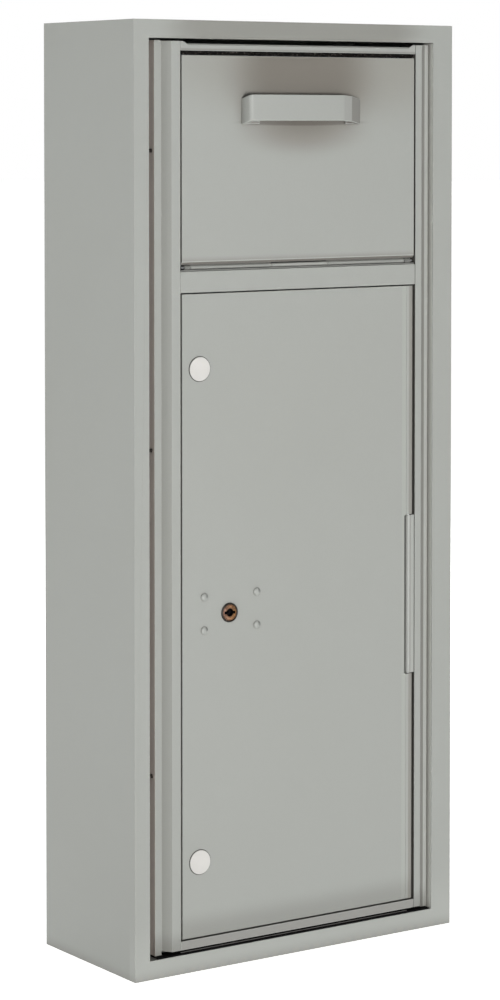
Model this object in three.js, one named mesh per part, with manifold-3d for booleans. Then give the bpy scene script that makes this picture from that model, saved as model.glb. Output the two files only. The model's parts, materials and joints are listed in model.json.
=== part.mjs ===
// Parcel drop box: a surface-mounted steel enclosure that holds a two-door unit.
// The upper door is a pull-down hopper, the lower door opens the parcel bin.
// Millimetres, +Z up, front towards -Y. Origin: centre of the enclosure's bottom face.

import * as THREE from 'three';
import { mergeVertices } from 'three/addons/utils/BufferGeometryUtils.js';
import Module from 'manifold-3d';

const wasm = await Module();
wasm.setup();

// ---- Driving dimensions ----

const WIDTH = 460;
const DEPTH = 200;
const HEIGHT = 1107;
const GAP = 0.3; // clearance kept between pieces that touch

// Enclosure shell
const SHELL_SHEET = 2;
const RIM = { left: 20.3, right: 29.2, top: 21.2, bottom: 22.1 };
const LIP_DEPTH = 19;
const REAR_FLANGE = 20;
const BACK_SHEET = 1.5;
const WALL_HOLE = { x: 140, low: 150, high: 950, radius: 5 };
const BACK_SCREW = { x: 219, low: 200, high: 900 };

// Unit frame, measured from the enclosure's front plane and centre line
const RAISED_BY = 3; // raised inner flange and door faces stand this far out of the rim
const FLANGE_SET_BACK = 7;
const UNIT_HALF = 198.3;
const STEP_FOOT = 189;
const STEP_TOP = 180.8;
const OPENING_HALF = 170.3;
const OPENING_SHIFT = 1.3; // the door opening's centre lies this far right of the enclosure's
const STILE_DEPTH = 33;
const STILE_WALL = 2.2;
const STILE = { bottom: 24.6, top: 1083.4 };
const RAISED = { bottom: 29.1, top: 1082.6 }; // ends of the stile's raised part
const STILE_SCREW_HEIGHTS = [234, 612, 957];
const TOP_RAIL = { bottom: 1071.8, top: 1080, tab: 12, tabFlat: 4 };
const MIDDLE_RAIL = { bottom: 793, top: 817.6, depth: 10 };
const BOTTOM_RAIL = { bottom: 29, top: 39.3, foot: 14 };
const RAIL_SHEET = 2;

// Inner cabinet
const CABINET_SHEET = 1.2;
const FRAME_INSET = 2.8; // the cabinet's sides start this far behind the stiles' face sheet
const CABINET_BACK_Y = 88.3;
const BAFFLE = { above: 8, slope: 14, top: 34, out: 12 }; // heights from the hopper's axis

// Hopper door
const DOOR_SHEET = 1.6;
const RETURN_DEPTH = 12;
const DOOR_HALF = 168.1;
const HOPPER = { bottom: 828.6, top: 1066.6 };
const HOPPER_AXIS = { setBack: 4, z: 822 };
const HOPPER_OPEN = THREE.MathUtils.degToRad(40);
const HOPPER_BARREL = 2.3;
const HOPPER_PIN = 1.2;
const HOPPER_LEAF = { sheet: 1.2, jog: 7.7, top: 22, ease: 0.5 }; // heights above the pin
const DOOR_LIP = { reach: 3, drop: 3.4, sheet: 1.2 }; // slopes in from the hopper door's lower edge
const SILL_KNUCKLE_HALF = 40;
const STOP = { above: 6.6, leg: 14, sheet: 2, clear: 0.8, front: 38, back: 68 };
const SPRING = { wire: 0.45, coil: 2.5, turns: 5, length: 8 };
const CHEEK_X = 166.2;
const CHEEK = { radius: 236, foot: 9, waist: [62, 40], trayStart: 4, trayShort: 22 };
const TRAY = { start: 6, rise: 3, length: 170, half: 169.7, sheet: 1.5, hem: 10 };

// Handle: the strap's outer line as (x, distance from the door), from left foot to right foot
const PULL_LINE = [
  [-85.3, 0],
  [-83.1, 16],
  [50.7, 16],
  [66, 11.7],
  [86.7, 0],
];
const PULL = { low: 987, high: 1017, strap: 3, bend: 5, foot: 24 };
const PULL_LEAN = 0.3; // height that the strap gains for each millimetre it stands out

// Parcel door
const DOOR = { bottom: 41.5, top: 791.4 };
const HINGE = { x: 163.6, radius: 5.5, pin: 2.4, bore: 2.7 };
const FRAME_KNUCKLE = { bottom: 319, top: 512 };
const KNUCKLE_GAP = 1;
const HINGE_GROOVE = 0.8; // the middle knuckle's leaf lies this far behind the door face
const DOOR_EDGE = 157.2;
const DOOR_NOTCH = 156;
const LEAF = { end: 129, sheet: 2 };
const STIFFENER = { left: 10, right: 62, bottom: 70, top: 762, brim: 12, rise: 8 };

// Lock
const LOCK = { x: -102.5, z: 417.6, bezel: 11.5, barrel: 10.5, plug: 9.4, proud: 1.8, back: 15 };
const KEYHOLE = { radius: 4.9, slot: 7.7, slotHalf: 1.5, depth: 7 };
const CAM = { reach: 63.9, width: 15, sheet: 3, hole: 7.8, shoulder: 14, corner: 3 };
const LOCK_NUT = { corner: 15.4, sheet: 4 };
const PLATE = { left: -149.6, right: -51.6, bottom: 390, top: 451, sheet: 1.5 };
const RIVETS = [
  [-137.7, 438.6],
  [-137.7, 399.6],
  [-63.5, 438.6],
  [-63.5, 399.6],
];
const RIVET = { head: 4.8, shank: 2, rise: 2.2, hole: 2.3 };

// Number discs
const DISC = { x: -144.1, radius: 14.75, sheet: 1.2 };
const DISC_HEIGHTS = { upper: 704.5, lower: 129.2 };

// Strike strip on the left stile
const STRIKE = { bottom: 46, top: 785, flange: 9, leg: 14, sheet: 1.5, behind: 1.5 };
const BUMPER = { inset: 1.5, width: 5.5, height: 16, thick: 0.9 };
const BUMPER_HEIGHTS = { upper: 700, lower: 120 };

// ---- Derived places ----

const FRONT = -DEPTH / 2;
const BACK = DEPTH / 2;
const FACE = FRONT - RAISED_BY;
const STILE_BACK = FACE + STILE_DEPTH;
const DOOR_INSIDE = FACE + DOOR_SHEET;
const AXIS_Y = FACE + HOPPER_AXIS.setBack;
const HINGE_Y = FACE + HINGE.radius;
const SILL_X = OPENING_HALF - GAP;
const CABINET_X = OPENING_HALF + STILE_WALL + GAP;
const OPENING = {
  left: -WIDTH / 2 + RIM.left,
  right: WIDTH / 2 - RIM.right,
  bottom: RIM.bottom,
  top: HEIGHT - RIM.top,
};

// ---- Finishes ----

const finish = (color, roughness, metalness) =>
  new THREE.MeshStandardMaterial({ color, roughness, metalness });

const PAINT = finish(0xacaea8, 0.5, 0.3);
const INNER_STEEL = finish(0x9c9e9c, 0.45, 0.7);
const DARK_STEEL = finish(0x4a4744, 0.5, 0.7);
const BRIGHT_STEEL = finish(0xb8babb, 0.3, 0.9);
const COPPER = finish(0x8a5a38, 0.35, 0.9);
const BRISTLE = finish(0x1a1816, 0.95, 0);
const RUBBER = finish(0x222222, 0.9, 0);
const WHITE = finish(0xe8e6e2, 0.6, 0);

// ---- Solids ----

function solid(geometry) {
  const bare = geometry.clone();
  bare.deleteAttribute('normal');
  bare.deleteAttribute('uv');
  const merged = mergeVertices(bare, 1e-4);
  const index = merged.index.array;
  const corners = [];
  for (let i = 0; i < index.length; i += 3) {
    const [a, b, c] = [index[i], index[i + 1], index[i + 2]];
    if (a !== b && b !== c && c !== a) corners.push(a, b, c);
  }
  return new wasm.Manifold(
    new wasm.Mesh({
      numProp: 3,
      vertProperties: new Float32Array(merged.attributes.position.array),
      triVerts: new Uint32Array(corners),
    }),
  );
}

function box(x0, x1, y0, y1, z0, z1) {
  const geometry = new THREE.BoxGeometry(x1 - x0, y1 - y0, z1 - z0);
  geometry.translate((x0 + x1) / 2, (y0 + y1) / 2, (z0 + z1) / 2);
  return solid(geometry);
}

function extruded(points, depth, matrix) {
  const shape = new THREE.Shape(points.map(([u, v]) => new THREE.Vector2(u, v)));
  const geometry = new THREE.ExtrudeGeometry(shape, { depth, bevelEnabled: false });
  geometry.applyMatrix4(matrix);
  return solid(geometry);
}

// An (x, y) outline raised from z0 to z1.
function prismZ(points, z0, z1) {
  return extruded(points, z1 - z0, new THREE.Matrix4().makeTranslation(0, 0, z0));
}

// A (y, z) outline run from x0 to x1.
function prismX(points, x0, x1) {
  const matrix = new THREE.Matrix4().makeBasis(
    new THREE.Vector3(0, 1, 0),
    new THREE.Vector3(0, 0, 1),
    new THREE.Vector3(1, 0, 0),
  );
  return extruded(points, x1 - x0, matrix.setPosition(x0, 0, 0));
}

// An (x, z) outline run from y0 to y1.
function prismY(points, y0, y1) {
  const matrix = new THREE.Matrix4().makeBasis(
    new THREE.Vector3(1, 0, 0),
    new THREE.Vector3(0, 0, 1),
    new THREE.Vector3(0, -1, 0),
  );
  return extruded(points, y1 - y0, matrix.setPosition(0, y1, 0));
}

// A profile of [radius, y] pairs, from low y to high y, turned about the Y direction at (x, z).
function turnedY(profile, x, z, segments = 24) {
  const points = profile.map(([radius, y]) => new THREE.Vector2(radius, y));
  const geometry = new THREE.LatheGeometry(points, segments);
  geometry.translate(x, 0, z);
  return solid(geometry);
}

function rodY(radius, y0, y1, x, z, segments = 24) {
  return turnedY([[0, y0], [radius, y0], [radius, y1], [0, y1]], x, z, segments);
}

// The same profile turned about the X direction at (y, z); its heights become places along X.
function turnedX(profile, y, z, segments = 16) {
  const points = profile.map(([radius, x]) => new THREE.Vector2(radius, x));
  const geometry = new THREE.LatheGeometry(points, segments);
  geometry.rotateZ(-Math.PI / 2);
  geometry.translate(0, y, z);
  return solid(geometry);
}

function rodX(radius, x0, x1, y, z, segments = 16) {
  return turnedX([[0, x0], [radius, x0], [radius, x1], [0, x1]], y, z, segments);
}

function rodZ(radius, z0, z1, x, y, segments = 24) {
  const geometry = new THREE.CylinderGeometry(radius, radius, z1 - z0, segments);
  geometry.rotateX(Math.PI / 2);
  geometry.translate(x, y, (z0 + z1) / 2);
  return solid(geometry);
}

function arc(cx, cy, radius, from, to, steps) {
  const points = [];
  for (let i = 0; i <= steps; i += 1) {
    const angle = THREE.MathUtils.degToRad(from + ((to - from) * i) / steps);
    points.push([cx + radius * Math.cos(angle), cy + radius * Math.sin(angle)]);
  }
  return points;
}

const mirroredX = (points) => points.map(([x, y]) => [-x, y]);

const model = new THREE.Group();

function add(name, body, material) {
  const { vertProperties, triVerts } = body.getMesh();
  const geometry = new THREE.BufferGeometry();
  geometry.setAttribute('position', new THREE.BufferAttribute(vertProperties, 3));
  geometry.setIndex(new THREE.BufferAttribute(triVerts, 1));
  geometry.computeVertexNormals();
  const mesh = new THREE.Mesh(geometry, material);
  mesh.name = name;
  model.add(mesh);
}

// The same, for what stands in the door opening: its x is measured from the opening's centre.
function addInner(name, body, material) {
  add(name, body.translate([OPENING_SHIFT, 0, 0]), material);
}

// ---- Enclosure ----

function enclosureShell() {
  const half = WIDTH / 2;
  const inner = half - SHELL_SHEET;
  const { left, right, bottom, top } = OPENING;
  const t = SHELL_SHEET;
  const outer = box(-half, half, FRONT, BACK, 0, HEIGHT);
  const hollow = box(-inner, inner, FRONT + t, BACK - t, t, HEIGHT - t);
  const rear = half - REAR_FLANGE;
  const rearHole = box(-rear, rear, BACK - t - 1, BACK + 1, REAR_FLANGE, HEIGHT - REAR_FLANGE);
  const lip = box(left - t, right + t, FRONT, FRONT + LIP_DEPTH, bottom - t, top + t);
  const frontHole = box(left, right, FRONT - 1, FRONT + LIP_DEPTH + 1, bottom, top);
  let shell = outer.subtract(hollow).subtract(rearHole).add(lip).subtract(frontHole);
  for (const side of [-1, 1]) {
    const lipX = side < 0 ? left - t / 2 : right + t / 2;
    for (const z of STILE_SCREW_HEIGHTS) {
      shell = shell.subtract(rodX(2.4, lipX - t, lipX + t, stileScrewY(), z));
    }
    for (const z of [BACK_SCREW.low, BACK_SCREW.high]) {
      shell = shell.subtract(rodY(2.2, BACK - t - 1, BACK + 1, side * BACK_SCREW.x, z, 16));
    }
  }
  return shell;
}

function backPanel() {
  const half = WIDTH / 2 - SHELL_SHEET - GAP;
  const y1 = BACK - SHELL_SHEET - GAP;
  let panel = box(-half, half, y1 - BACK_SHEET, y1, SHELL_SHEET + GAP, HEIGHT - SHELL_SHEET - GAP);
  for (const side of [-1, 1]) {
    for (const z of [WALL_HOLE.low, WALL_HOLE.high]) {
      panel = panel.subtract(rodY(WALL_HOLE.radius, y1 - 4, y1 + 1, side * WALL_HOLE.x, z, 20));
    }
    for (const z of [BACK_SCREW.low, BACK_SCREW.high]) {
      panel = panel.subtract(rodY(2.2, y1 - 4, y1 + 1, side * BACK_SCREW.x, z, 16));
    }
  }
  return panel;
}

function backScrew(x, z) {
  const headBack = BACK - SHELL_SHEET - GAP - BACK_SHEET - GAP;
  const profile = [
    [0, headBack - 2.4],
    [2.4, headBack - 2.4],
    [4, headBack - 1.4],
    [4, headBack],
    [1.9, headBack],
    [1.9, BACK - 0.2],
    [0, BACK - 0.2],
  ];
  return turnedY(profile, x, z, 14);
}

function addEnclosure() {
  add('enclosure_shell', enclosureShell(), PAINT);
  add('back_panel', backPanel(), PAINT);
  for (const [side, sign] of [['left', -1], ['right', 1]]) {
    for (const [level, z] of [['lower', BACK_SCREW.low], ['upper', BACK_SCREW.high]]) {
      add(`back_screw_${side}_${level}`, backScrew(sign * BACK_SCREW.x, z), BRIGHT_STEEL);
    }
  }
}

// ---- Unit frame ----

function stileScrewY() {
  return FRONT + FLANGE_SET_BACK + 6.7;
}

// Right-hand upright: outer flange, sloping step and raised inner flange on a deep channel.
function stileOutline(opening) {
  const outerFace = FRONT + FLANGE_SET_BACK;
  const t = STILE_WALL;
  return [
    [UNIT_HALF, STILE_BACK],
    [UNIT_HALF, outerFace],
    [STEP_FOOT, outerFace],
    [STEP_TOP, FACE],
    [opening, FACE],
    [opening, STILE_BACK],
    [opening + t, STILE_BACK],
    [opening + t, FACE + t],
    [STEP_TOP - 0.8, FACE + t],
    [STEP_FOOT - 0.8, outerFace + t],
    [UNIT_HALF - t, outerFace + t],
    [UNIT_HALF - t, STILE_BACK],
  ];
}

function stile(sign) {
  const right = stileOutline(OPENING_HALF + sign * OPENING_SHIFT);
  const outline = sign > 0 ? right : mirroredX(right);
  let body = prismZ(outline, STILE.bottom, STILE.top);
  const foot = STEP_FOOT + 0.5;
  const [x0, x1] = sign > 0 ? [0, foot] : [-foot, 0];
  for (const [z0, z1] of [[STILE.bottom - 1, RAISED.bottom], [RAISED.top, STILE.top + 1]]) {
    body = body.subtract(box(x0, x1, FACE - 1, STILE_BACK + 1, z0, z1));
  }
  const wallX = sign * (UNIT_HALF - STILE_WALL / 2);
  for (const z of STILE_SCREW_HEIGHTS) {
    body = body.subtract(rodX(2.4, wallX - STILE_WALL, wallX + STILE_WALL, stileScrewY(), z));
  }
  return body;
}

function stileScrew(sign, z) {
  const head = UNIT_HALF - STILE_WALL - GAP;
  const lip = sign < 0 ? -OPENING.left : OPENING.right;
  const tip = lip + SHELL_SHEET + 2;
  const profile = [
    [0, head - 2.6],
    [3, head - 2.6],
    [3.9, head - 1.6],
    [3.9, head],
    [2.1, head],
    [2.1, tip],
    [0, tip],
  ];
  const flipped = profile.map(([radius, x]) => [radius, -x]).reverse();
  return turnedX(sign < 0 ? flipped : profile, stileScrewY(), z, 14);
}

function topRail() {
  const { bottom, top, tab, tabFlat } = TOP_RAIL;
  const t = RAIL_SHEET;
  const outline = [
    [FACE, bottom],
    [FACE, top - t],
    [FACE + t, top],
    [STILE_BACK, top],
    [STILE_BACK, top - t],
    [FACE + t, top - t],
    [FACE + t, bottom],
  ];
  let rail = prismX(outline, -SILL_X, SILL_X);
  for (const sign of [-1, 1]) {
    const tabOutline = [
      [sign * SILL_X, bottom + 1],
      [sign * SILL_X, RAISED.top],
      [sign * (SILL_X - tabFlat), RAISED.top],
      [sign * (SILL_X - tab), top - t],
      [sign * (SILL_X - tab), bottom + 1],
    ];
    rail = rail.add(prismY(tabOutline, FACE, FACE + t));
  }
  return rail;
}

function middleRail() {
  const { bottom, top, depth } = MIDDLE_RAIL;
  const t = RAIL_SHEET;
  const outline = [
    [FACE, bottom],
    [FACE, top],
    [FACE + depth, top],
    [FACE + depth, top - t],
    [FACE + t, top - t],
    [FACE + t, bottom + t],
    [FACE + depth, bottom + t],
    [FACE + depth, bottom],
  ];
  return prismX(outline, -SILL_X, SILL_X);
}

function bottomRail() {
  const { bottom, top, foot } = BOTTOM_RAIL;
  const t = RAIL_SHEET;
  const outline = [
    [FACE, bottom],
    [FACE, top],
    [STILE_BACK, top],
    [STILE_BACK, top - t],
    [FACE + t, top - t],
    [FACE + t, bottom + t],
    [FACE + foot, bottom + t],
    [FACE + foot, bottom],
  ];
  return prismX(outline, -SILL_X, SILL_X);
}

function topSeal() {
  const low = HOPPER.top + GAP;
  return box(-SILL_X, SILL_X, FACE + 2.4, FACE + 7, low, TOP_RAIL.bottom + 3);
}

function addUnitFrame() {
  for (const [side, sign] of [['left', -1], ['right', 1]]) {
    add(`${side}_stile`, stile(sign), PAINT);
    STILE_SCREW_HEIGHTS.forEach((z, i) => {
      add(`stile_screw_${side}_${i + 1}`, stileScrew(sign, z), DARK_STEEL);
    });
  }
  addInner('top_rail', topRail(), PAINT);
  addInner('middle_rail', middleRail(), PAINT);
  addInner('bottom_rail', bottomRail(), PAINT);
  addInner('top_seal', topSeal(), BRISTLE);
}

// ---- Inner cabinet ----

function addCabinet() {
  const t = CABINET_SHEET;
  const y0 = FACE + STILE_WALL + FRAME_INSET;
  const low = BOTTOM_RAIL.top - RAIL_SHEET - GAP - t;
  const high = TOP_RAIL.top - RAIL_SHEET - GAP;
  for (const [side, sign] of [['left', -1], ['right', 1]]) {
    const [x0, x1] = sign < 0 ? [-CABINET_X - t, -CABINET_X] : [CABINET_X, CABINET_X + t];
    addInner(`cabinet_side_${side}`, box(x0, x1, y0, CABINET_BACK_Y + t, low, high), INNER_STEEL);
  }
  const half = CABINET_X - GAP;
  const backEdge = CABINET_BACK_Y - GAP;
  const shelfFront = STILE_BACK + GAP;
  addInner('cabinet_top', box(-half, half, shelfFront, backEdge, high - t, high), INNER_STEEL);
  addInner('cabinet_floor', box(-half, half, shelfFront, backEdge, low, low + t), INNER_STEEL);
  addInner('cabinet_back', box(-half, half, CABINET_BACK_Y, CABINET_BACK_Y + t, low, high), INNER_STEEL);
}

function rearBaffle() {
  const y = CABINET_BACK_Y - GAP;
  const t = CABINET_SHEET;
  const { above, slope, top, out } = BAFFLE;
  const low = HOPPER_AXIS.z + above;
  const outline = [
    [y, low + top],
    [y, low + slope],
    [y - out, low],
    [y - out - t, low + t],
    [y - t, low + slope + t],
    [y - t, low + top],
  ];
  return prismX(outline, -CHEEK_X, CHEEK_X);
}

// Small angle on each cabinet side that the tray's edge meets when the hopper is fully open.
function hopperStop(sign) {
  const { above, leg, sheet, clear, front, back } = STOP;
  const low = HOPPER_AXIS.z + above;
  const [inner, outer] = [CHEEK_X + clear, CABINET_X - GAP];
  const outline = [
    [sign * inner, low],
    [sign * outer, low],
    [sign * outer, low + leg],
    [sign * (outer - sheet), low + leg],
    [sign * (outer - sheet), low + sheet],
    [sign * inner, low + sheet],
  ];
  return prismY(outline, front, back);
}

// ---- Hopper ----

// Shallow pan, open below, whose lower edge slopes in to the hinge barrel.
function hopperDoor() {
  const { bottom, top } = HOPPER;
  const t = DOOR_SHEET;
  const back = FACE + RETURN_DEPTH;
  const inner = DOOR_HALF - t;
  const { reach, drop, sheet } = DOOR_LIP;
  const slant = Math.hypot(reach, drop);
  const tip = [FACE + reach, bottom - drop];
  const sideOutline = [
    [FACE, top],
    [FACE, bottom],
    tip,
    [tip[0] + (sheet * drop) / slant, tip[1] + (sheet * reach) / slant],
    [FACE + t, bottom],
    [back, bottom],
    [back, top],
  ];
  const hollowOutline = [
    [FACE + t, top - t],
    [FACE + t, bottom],
    [back + 1, bottom - 1],
    [back + 1, top - t],
  ];
  let door = prismX(sideOutline, -DOOR_HALF, DOOR_HALF);
  door = door.subtract(prismX(hollowOutline, -inner, inner));
  for (const side of ['left', 'right']) {
    door = door.subtract(rodY(3, FACE - 1, FACE + t + 1, handleScrewX(side), handleScrewZ(), 16));
  }
  return door;
}

function handleScrewX(side) {
  const inset = PULL.foot - 5;
  return side === 'left' ? PULL_LINE[0][0] + inset : PULL_LINE.at(-1)[0] - inset;
}

function handleScrewZ() {
  return (PULL.low + PULL.high) / 2;
}

// Centres of the bends at the inner points of a line, with the angles that each turns through.
function strapBends(points, radius) {
  const heading = (a, b) => Math.atan2(b[1] - a[1], b[0] - a[0]);
  return points.slice(1, -1).map((corner, i) => {
    const before = heading(points[i], corner);
    const after = heading(corner, points[i + 2]);
    const between = (before + after) / 2;
    const reach = radius / Math.cos((after - before) / 2);
    return {
      x: corner[0] - reach * Math.sin(between),
      y: corner[1] + reach * Math.cos(between),
      from: THREE.MathUtils.radToDeg(before) - 90,
      to: THREE.MathUtils.radToDeg(after) - 90,
    };
  });
}

// How far in from its heel the inside of a strap meets its foot.
function heelInset(heel, next) {
  const slope = Math.atan2(heel[1] - next[1], Math.abs(heel[0] - next[0]));
  return PULL.strap * (1 / Math.tan(slope) + 1 / Math.sin(slope));
}

// Flat strap bent to the pull's line, with a foot turned in under each end.
function hopperHandle() {
  const { low, high, strap, bend, foot } = PULL;
  const seat = FACE - GAP;
  const line = PULL_LINE.map(([x, out]) => [x, seat - out]);
  const bends = strapBends(line, bend);
  const rounded = (radius) =>
    bends.flatMap(({ x, y, from, to }) => arc(x, y, radius, from, to, Math.ceil((to - from) / 18)));
  const [left, right] = [line[0], line.at(-1)];
  const outline = [
    left,
    ...rounded(bend),
    right,
    [right[0] - foot, seat],
    [right[0] - foot, seat - strap],
    [right[0] - heelInset(right, line.at(-2)), seat - strap],
    ...rounded(bend - strap).reverse(),
    [left[0] + heelInset(left, line[1]), seat - strap],
    [left[0] + foot, seat - strap],
    [left[0] + foot, seat],
  ];
  const shape = new THREE.Shape(outline.map(([x, y]) => new THREE.Vector2(x, y)));
  const geometry = new THREE.ExtrudeGeometry(shape, { depth: high - low, bevelEnabled: false });
  const lean = new THREE.Matrix4().makeShear(0, 0, 0, -PULL_LEAN, 0, 0);
  geometry.applyMatrix4(lean.setPosition(0, 0, low + PULL_LEAN * seat));
  let body = solid(geometry);
  for (const side of ['left', 'right']) {
    body = body.subtract(rodY(2.2, seat - strap - 1, seat + 1, handleScrewX(side), handleScrewZ(), 14));
  }
  return body;
}

function handleScrew(side) {
  const profile = [
    [0, FACE - GAP - PULL.strap + 0.5],
    [1.9, FACE - GAP - PULL.strap + 0.5],
    [1.9, DOOR_INSIDE + GAP],
    [4.6, DOOR_INSIDE + GAP],
    [4.6, DOOR_INSIDE + 2],
    [3.2, DOOR_INSIDE + 3],
    [0, DOOR_INSIDE + 3],
  ];
  return turnedY(profile, handleScrewX(side), handleScrewZ(), 14);
}

// Hinge barrel whose leaf rises behind the door's lip and lies against the back of its face.
function movingKnuckle(x0, x1) {
  const { z } = HOPPER_AXIS;
  const { sheet, ease } = HOPPER_LEAF;
  const low = AXIS_Y + GAP;
  const high = DOOR_INSIDE + GAP;
  const jog = z + HOPPER_LEAF.jog;
  const top = z + HOPPER_LEAF.top;
  const outline = [
    [low, z],
    [low + sheet, z],
    [low + sheet, jog + ease],
    [high + sheet, jog + ease + low - high],
    [high + sheet, top],
    [high, top],
    [high, jog + low - high],
    [low, jog],
  ];
  const barrel = rodX(HOPPER_BARREL, x0, x1, AXIS_Y, z, 20);
  const bore = rodX(HOPPER_PIN + GAP, x0 - 1, x1 + 1, AXIS_Y, z, 16);
  return barrel.add(prismX(outline, x0, x1)).subtract(bore);
}

// Hinge barrel whose leaf bends back over the middle rail.
function fixedKnuckle(x0, x1) {
  const { z } = HOPPER_AXIS;
  const t = HOPPER_LEAF.sheet;
  const rear = AXIS_Y + HOPPER_BARREL;
  const low = MIDDLE_RAIL.top + GAP;
  const outline = [
    [rear - t, z],
    [rear - t, low],
    [FACE + MIDDLE_RAIL.depth - 0.5, low],
    [FACE + MIDDLE_RAIL.depth - 0.5, low + t],
    [rear, low + t],
    [rear, z],
  ];
  const barrel = rodX(HOPPER_BARREL, x0, x1, AXIS_Y, z, 20);
  const bore = rodX(HOPPER_PIN + GAP, x0 - 1, x1 + 1, AXIS_Y, z, 16);
  return barrel.add(prismX(outline, x0, x1)).subtract(bore);
}

class Coil extends THREE.Curve {
  constructor(x0) {
    super();
    this.x0 = x0;
  }

  getPoint(t, target = new THREE.Vector3()) {
    const angle = 2 * Math.PI * SPRING.turns * t;
    return target.set(
      this.x0 + SPRING.length * t,
      AXIS_Y + SPRING.coil * Math.cos(angle),
      HOPPER_AXIS.z + SPRING.coil * Math.sin(angle),
    );
  }
}

function hopperSpring(x0) {
  const wire = new THREE.Shape().absarc(0, 0, SPRING.wire, 0, 2 * Math.PI, false);
  const geometry = new THREE.ExtrudeGeometry(wire, {
    steps: SPRING.turns * 12,
    curveSegments: 3,
    bevelEnabled: false,
    extrudePath: new Coil(x0),
  });
  return solid(geometry);
}

// Side plate of the hopper: a sector that fills the side gap, with an arm down to the tray.
function hopperCheek(sign) {
  const { z } = HOPPER_AXIS;
  const open = THREE.MathUtils.radToDeg(HOPPER_OPEN);
  const front = DOOR_INSIDE + GAP - AXIS_Y;
  const top = Math.sqrt(CHEEK.radius ** 2 - front ** 2);
  const rim = arc(0, 0, CHEEK.radius, 90, 90 - open, 12).slice(1);
  const outline = [
    [front, CHEEK.foot],
    [front, top],
    ...rim,
    CHEEK.waist,
    trayPoint(TRAY.length - CHEEK.trayShort, GAP),
    trayPoint(CHEEK.trayStart, GAP),
  ].map(([y, dz]) => [AXIS_Y + y, z + dz]);
  const outer = sign * CHEEK_X;
  const inner = sign * (CHEEK_X - CABINET_SHEET);
  return prismX(outline, Math.min(outer, inner), Math.max(outer, inner));
}

// A point on the closed tray, as (y, z) from the hopper's axis: along the slope and above it.
function trayPoint(along, above) {
  const c = Math.cos(HOPPER_OPEN);
  const s = Math.sin(HOPPER_OPEN);
  return [TRAY.start + along * c + above * s, TRAY.rise - along * s + above * c];
}

function hopperTray() {
  const { length, sheet, half, hem } = TRAY;
  const outline = [
    trayPoint(0, 0),
    trayPoint(length, 0),
    trayPoint(length, -hem),
    trayPoint(length - sheet, -hem),
    trayPoint(length - sheet, -sheet),
    trayPoint(0, -sheet),
  ].map(([y, dz]) => [AXIS_Y + y, HOPPER_AXIS.z + dz]);
  return prismX(outline, -half, half);
}

function addHopper() {
  const end = CHEEK_X - CABINET_SHEET - GAP;
  const inner = SILL_KNUCKLE_HALF + 2 * GAP;
  const outer = end - SPRING.length - 2;
  addInner('hopper_door', hopperDoor(), PAINT);
  addInner('hopper_handle', hopperHandle(), PAINT);
  addInner('hopper_knuckle_left', movingKnuckle(-outer, -inner), PAINT);
  addInner('hopper_knuckle_right', movingKnuckle(inner, outer), PAINT);
  addInner('sill_knuckle', fixedKnuckle(-SILL_KNUCKLE_HALF, SILL_KNUCKLE_HALF), PAINT);
  addInner('hopper_pin', rodX(HOPPER_PIN, -end - 3, end + 3, AXIS_Y, HOPPER_AXIS.z), BRIGHT_STEEL);
  addInner('hopper_spring_left', hopperSpring(-end + 1), PAINT);
  addInner('hopper_spring_right', hopperSpring(outer + 1), PAINT);
  addInner('hopper_tray', hopperTray(), INNER_STEEL);
  for (const [side, sign] of [['left', -1], ['right', 1]]) {
    addInner(`handle_screw_${side}`, handleScrew(side), BRIGHT_STEEL);
    addInner(`hopper_cheek_${side}`, hopperCheek(sign), INNER_STEEL);
    addInner(`hopper_stop_${side}`, hopperStop(sign), INNER_STEEL);
  }
  addInner('rear_baffle', rearBaffle(), INNER_STEEL);
}

// ---- Parcel door ----

function parcelDoor() {
  const { bottom, top } = DOOR;
  const t = DOOR_SHEET;
  const back = FACE + RETURN_DEPTH;
  const block = box(-DOOR_HALF, DOOR_EDGE, FACE, back, bottom, top);
  const pan = box(-DOOR_HALF + t, DOOR_EDGE + 1, FACE + t, back + 1, bottom + t, top - t);
  let door = block.subtract(pan);
  const [low, high] = [FRAME_KNUCKLE.bottom - KNUCKLE_GAP, FRAME_KNUCKLE.top + KNUCKLE_GAP];
  door = door.subtract(box(DOOR_NOTCH, DOOR_EDGE + 1, FACE - 1, back + 1, low, high));
  door = door.subtract(rodY(LOCK.barrel + GAP, FACE - 1, FACE + t + 1, LOCK.x, LOCK.z, 28));
  for (const [x, z] of RIVETS) {
    door = door.subtract(rodY(RIVET.hole, FACE - 1, FACE + t + 1, x, z, 14));
  }
  return door;
}

// Hat-section channel fixed behind the panel.
function doorStiffener() {
  const { left, right, bottom, top, brim, rise } = STIFFENER;
  const y = DOOR_INSIDE + GAP;
  const t = CABINET_SHEET;
  const outline = [
    [left, y],
    [left + brim, y],
    [left + brim, y + rise - t],
    [right - brim, y + rise - t],
    [right - brim, y],
    [right, y],
    [right, y + t],
    [right - brim + t, y + t],
    [right - brim + t, y + rise],
    [left + brim - t, y + rise],
    [left + brim - t, y + t],
    [left, y + t],
  ];
  return prismZ(outline, bottom, top);
}

// Door side of the hinge: a barrel that carries the face of the door round, and a leaf behind the door.
function doorKnuckle(z0, z1) {
  const { x, radius } = HINGE;
  const leafY = DOOR_INSIDE + GAP;
  const edge = DOOR_EDGE + GAP;
  const outline = [
    [edge, FACE],
    ...arc(x, HINGE_Y, radius, -90, 135, 15),
    [edge, leafY + LEAF.sheet],
    [LEAF.end, leafY + LEAF.sheet],
    [LEAF.end, leafY],
    [edge, leafY],
  ];
  let knuckle = prismZ(outline, z0, z1).subtract(rodZ(HINGE.bore, z0 - 1, z1 + 1, x, HINGE_Y));
  const room = DOOR_SHEET + GAP;
  for (const z of [DOOR.bottom, DOOR.top]) {
    knuckle = knuckle.subtract(box(LEAF.end - 1, edge, DOOR_INSIDE, STILE_BACK, z - room, z + room));
  }
  return knuckle;
}

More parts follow.
